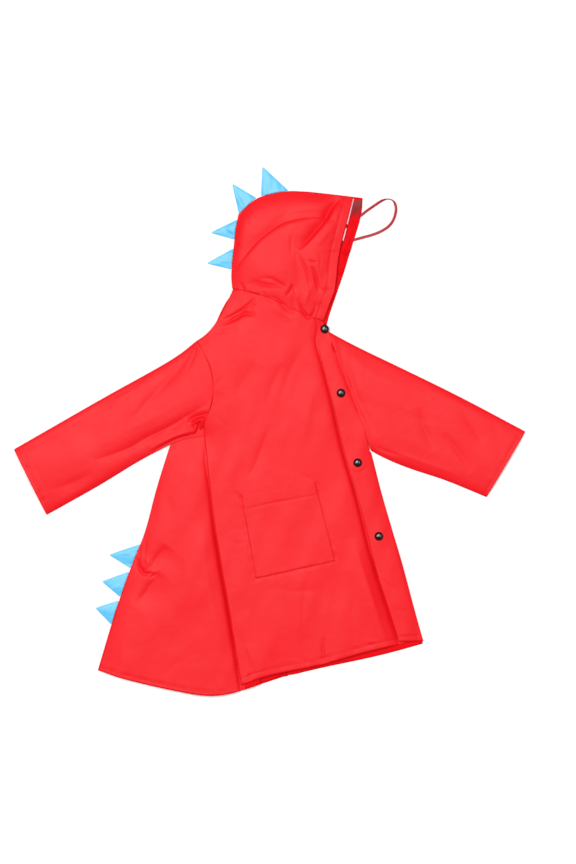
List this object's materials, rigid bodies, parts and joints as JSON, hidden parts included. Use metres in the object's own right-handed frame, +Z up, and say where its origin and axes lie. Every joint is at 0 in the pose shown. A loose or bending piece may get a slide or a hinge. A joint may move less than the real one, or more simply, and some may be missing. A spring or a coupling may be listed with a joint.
{
  "type": "child's hooded raincoat",
  "caption": "Child's hooded raincoat laid flat, with a snap front, a patch pocket, a clear brim, a ribbon loop and padded spikes along the back seams.",
  "frame": {"origin": "centre of the coat's outline, on the surface it lies on", "axes": "+Z up from the surface, +Y from the hem to the hood, +X towards the coat's snap front"},
  "size_m": [0.92, 0.9511, 0.0176],
  "materials": {
    "coated_cloth": "red polyester taffeta with a water-proof coating, soft sheen",
    "spike_cloth": "light blue satin-faced polyester, slightly puckered at its seams",
    "clear_film": "clear soft plastic film, glossy",
    "snap_cap": "black gloss caps",
    "ribbon": "narrow red woven ribbon"
  },
  "bodies": {
    "root": {"back_left": "coated_cloth", "back_right": "coated_cloth", "front_right": "coated_cloth", "front_left": "coated_cloth", "sleeve_right": "coated_cloth", "sleeve_left": "coated_cloth", "hood_left": "coated_cloth", "hood_right": "coated_cloth", "hood_peak": "clear_film", "pocket": "coated_cloth", "hood_spike_1": "spike_cloth", "hood_spike_2": "spike_cloth", "hood_spike_3": "spike_cloth", "hood_spike_4": "spike_cloth", "back_spike_1": "spike_cloth", "back_spike_2": "spike_cloth", "back_spike_3": "spike_cloth", "snap_1": "snap_cap", "snap_2": "snap_cap", "snap_3": "snap_cap", "snap_4": "snap_cap", "hood_loop": "ribbon"}
  },
  "joints": []
}
